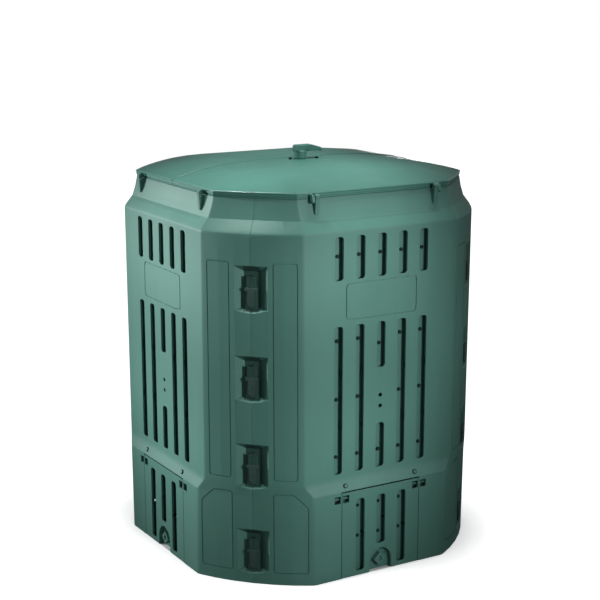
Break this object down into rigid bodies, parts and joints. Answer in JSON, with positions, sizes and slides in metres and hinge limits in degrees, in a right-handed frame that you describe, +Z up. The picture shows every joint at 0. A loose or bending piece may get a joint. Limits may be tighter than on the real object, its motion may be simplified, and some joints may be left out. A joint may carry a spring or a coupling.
{
  "type": "compost bin",
  "caption": "Eight-sided slatted plastic compost bin with clipped wall panels, a domed two-leaf hinged lid with a turn lever, and a latched emptying flap in the foot of each wall",
  "frame": {"origin": "middle of the underside that stands on the ground", "axes": "+Z up, -Y out of the front wall, +X to the right seen from the front; the lid's leaves meet along X"},
  "size_m": [0.848, 0.848, 1.0853],
  "materials": {
    "panel": "moulded green plastic with a faint grain, satin",
    "lid": "moulded green plastic, smoother than the walls, satin",
    "clip": "dark grey-green moulded plastic, satin",
    "pin": "dark green moulded plastic pin, satin"
  },
  "bodies": {
    "bin": {"wall_front": "panel", "wall_right": "panel", "wall_back": "panel", "wall_left": "panel", "flap_pin_front_a": "pin", "flap_pin_front_b": "pin", "flap_pin_right_a": "pin", "flap_pin_right_b": "pin", "flap_pin_back_a": "pin", "flap_pin_back_b": "pin", "flap_pin_left_a": "pin", "flap_pin_left_b": "pin", "lid_pin_front_a": "pin", "lid_pin_front_b": "pin", "lid_pin_back_a": "pin", "lid_pin_back_b": "pin"},
    "lid_front": {"lid_front": "lid"},
    "lid_rear": {"lid_back": "lid"},
    "handle": {"lid_handle": "lid", "lid_cam": "clip"},
    "flap_front": {"flap_front": "panel"},
    "latch_front": {"flap_latch_front": "panel", "flap_catch_front": "clip"},
    "flap_right": {"flap_right": "panel"},
    "latch_right": {"flap_latch_right": "panel", "flap_catch_right": "clip"},
    "flap_back": {"flap_back": "panel"},
    "latch_back": {"flap_latch_back": "panel", "flap_catch_back": "clip"},
    "flap_left": {"flap_left": "panel"},
    "latch_left": {"flap_latch_left": "panel", "flap_catch_left": "clip"},
    "clip_front_left_1": {"clip_front_left_1": "clip"},
    "clip_front_left_2": {"clip_front_left_2": "clip"},
    "clip_front_left_3": {"clip_front_left_3": "clip"},
    "clip_front_left_4": {"clip_front_left_4": "clip"},
    "clip_front_right_1": {"clip_front_right_1": "clip"},
    "clip_front_right_2": {"clip_front_right_2": "clip"},
    "clip_front_right_3": {"clip_front_right_3": "clip"},
    "clip_front_right_4": {"clip_front_right_4": "clip"},
    "clip_back_right_1": {"clip_back_right_1": "clip"},
    "clip_back_right_2": {"clip_back_right_2": "clip"},
    "clip_back_right_3": {"clip_back_right_3": "clip"},
    "clip_back_right_4": {"clip_back_right_4": "clip"},
    "clip_back_left_1": {"clip_back_left_1": "clip"},
    "clip_back_left_2": {"clip_back_left_2": "clip"},
    "clip_back_left_3": {"clip_back_left_3": "clip"},
    "clip_back_left_4": {"clip_back_left_4": "clip"}
  },
  "joints": [
    {"name": "lid_front_hinge", "type": "hinge", "parent": "bin", "child": "lid_front", "pos_m": [0, -0.389, 0.992], "axis": [1, 0, 0], "range_deg": [0, 165]},
    {"name": "lid_rear_hinge", "type": "hinge", "parent": "bin", "child": "lid_rear", "pos_m": [0, 0.389, 0.992], "axis": [-1, 0, 0], "range_deg": [0, 165]},
    {"name": "handle_turn", "type": "hinge", "parent": "lid_front", "child": "handle", "pos_m": [-0.017, -0.04, 1.048], "axis": [0, 0, 1], "range_deg": [0, 90]},
    {"name": "flap_front_hinge", "type": "hinge", "parent": "bin", "child": "flap_front", "pos_m": [0, -0.414, 0.217], "axis": [-1, 0, 0], "range_deg": [0, 110]},
    {"name": "latch_front_turn", "type": "hinge", "parent": "flap_front", "child": "latch_front", "pos_m": [0, -0.42, 0.031], "axis": [0, -1, 0], "range_deg": [0, 90]},
    {"name": "flap_right_hinge", "type": "hinge", "parent": "bin", "child": "flap_right", "pos_m": [0.414, 0, 0.217], "axis": [0, -1, 0], "range_deg": [0, 110]},
    {"name": "latch_right_turn", "type": "hinge", "parent": "flap_right", "child": "latch_right", "pos_m": [0.42, 0, 0.031], "axis": [1, 0, 0], "range_deg": [0, 90]},
    {"name": "flap_back_hinge", "type": "hinge", "parent": "bin", "child": "flap_back", "pos_m": [0, 0.414, 0.217], "axis": [1, 0, 0], "range_deg": [0, 110]},
    {"name": "latch_back_turn", "type": "hinge", "parent": "flap_back", "child": "latch_back", "pos_m": [0, 0.42, 0.031], "axis": [0, 1, 0], "range_deg": [0, 90]},
    {"name": "flap_left_hinge", "type": "hinge", "parent": "bin", "child": "flap_left", "pos_m": [-0.414, 0, 0.217], "axis": [0, 1, 0], "range_deg": [0, 110]},
    {"name": "latch_left_turn", "type": "hinge", "parent": "flap_left", "child": "latch_left", "pos_m": [-0.42, 0, 0.031], "axis": [-1, 0, 0], "range_deg": [0, 90]},
    {"name": "clip_front_left_1_slide", "type": "slide", "parent": "bin", "child": "clip_front_left_1", "axis": [0, 0, 1], "range_m": [0, 0.04]},
    {"name": "clip_front_left_2_slide", "type": "slide", "parent": "bin", "child": "clip_front_left_2", "axis": [0, 0, 1], "range_m": [0, 0.04]},
    {"name": "clip_front_left_3_slide", "type": "slide", "parent": "bin", "child": "clip_front_left_3", "axis": [0, 0, 1], "range_m": [0, 0.04]},
    {"name": "clip_front_left_4_slide", "type": "slide", "parent": "bin", "child": "clip_front_left_4", "axis": [0, 0, 1], "range_m": [0, 0.04]},
    {"name": "clip_front_right_1_slide", "type": "slide", "parent": "bin", "child": "clip_front_right_1", "axis": [0, 0, 1], "range_m": [0, 0.04]},
    {"name": "clip_front_right_2_slide", "type": "slide", "parent": "bin", "child": "clip_front_right_2", "axis": [0, 0, 1], "range_m": [0, 0.04]},
    {"name": "clip_front_right_3_slide", "type": "slide", "parent": "bin", "child": "clip_front_right_3", "axis": [0, 0, 1], "range_m": [0, 0.04]},
    {"name": "clip_front_right_4_slide", "type": "slide", "parent": "bin", "child": "clip_front_right_4", "axis": [0, 0, 1], "range_m": [0, 0.04]},
    {"name": "clip_back_right_1_slide", "type": "slide", "parent": "bin", "child": "clip_back_right_1", "axis": [0, 0, 1], "range_m": [0, 0.04]},
    {"name": "clip_back_right_2_slide", "type": "slide", "parent": "bin", "child": "clip_back_right_2", "axis": [0, 0, 1], "range_m": [0, 0.04]},
    {"name": "clip_back_right_3_slide", "type": "slide", "parent": "bin", "child": "clip_back_right_3", "axis": [0, 0, 1], "range_m": [0, 0.04]},
    {"name": "clip_back_right_4_slide", "type": "slide", "parent": "bin", "child": "clip_back_right_4", "axis": [0, 0, 1], "range_m": [0, 0.04]},
    {"name": "clip_back_left_1_slide", "type": "slide", "parent": "bin", "child": "clip_back_left_1", "axis": [0, 0, 1], "range_m": [0, 0.04]},
    {"name": "clip_back_left_2_slide", "type": "slide", "parent": "bin", "child": "clip_back_left_2", "axis": [0, 0, 1], "range_m": [0, 0.04]},
    {"name": "clip_back_left_3_slide", "type": "slide", "parent": "bin", "child": "clip_back_left_3", "axis": [0, 0, 1], "range_m": [0, 0.04]},
    {"name": "clip_back_left_4_slide", "type": "slide", "parent": "bin", "child": "clip_back_left_4", "axis": [0, 0, 1], "range_m": [0, 0.04]}
  ]
}
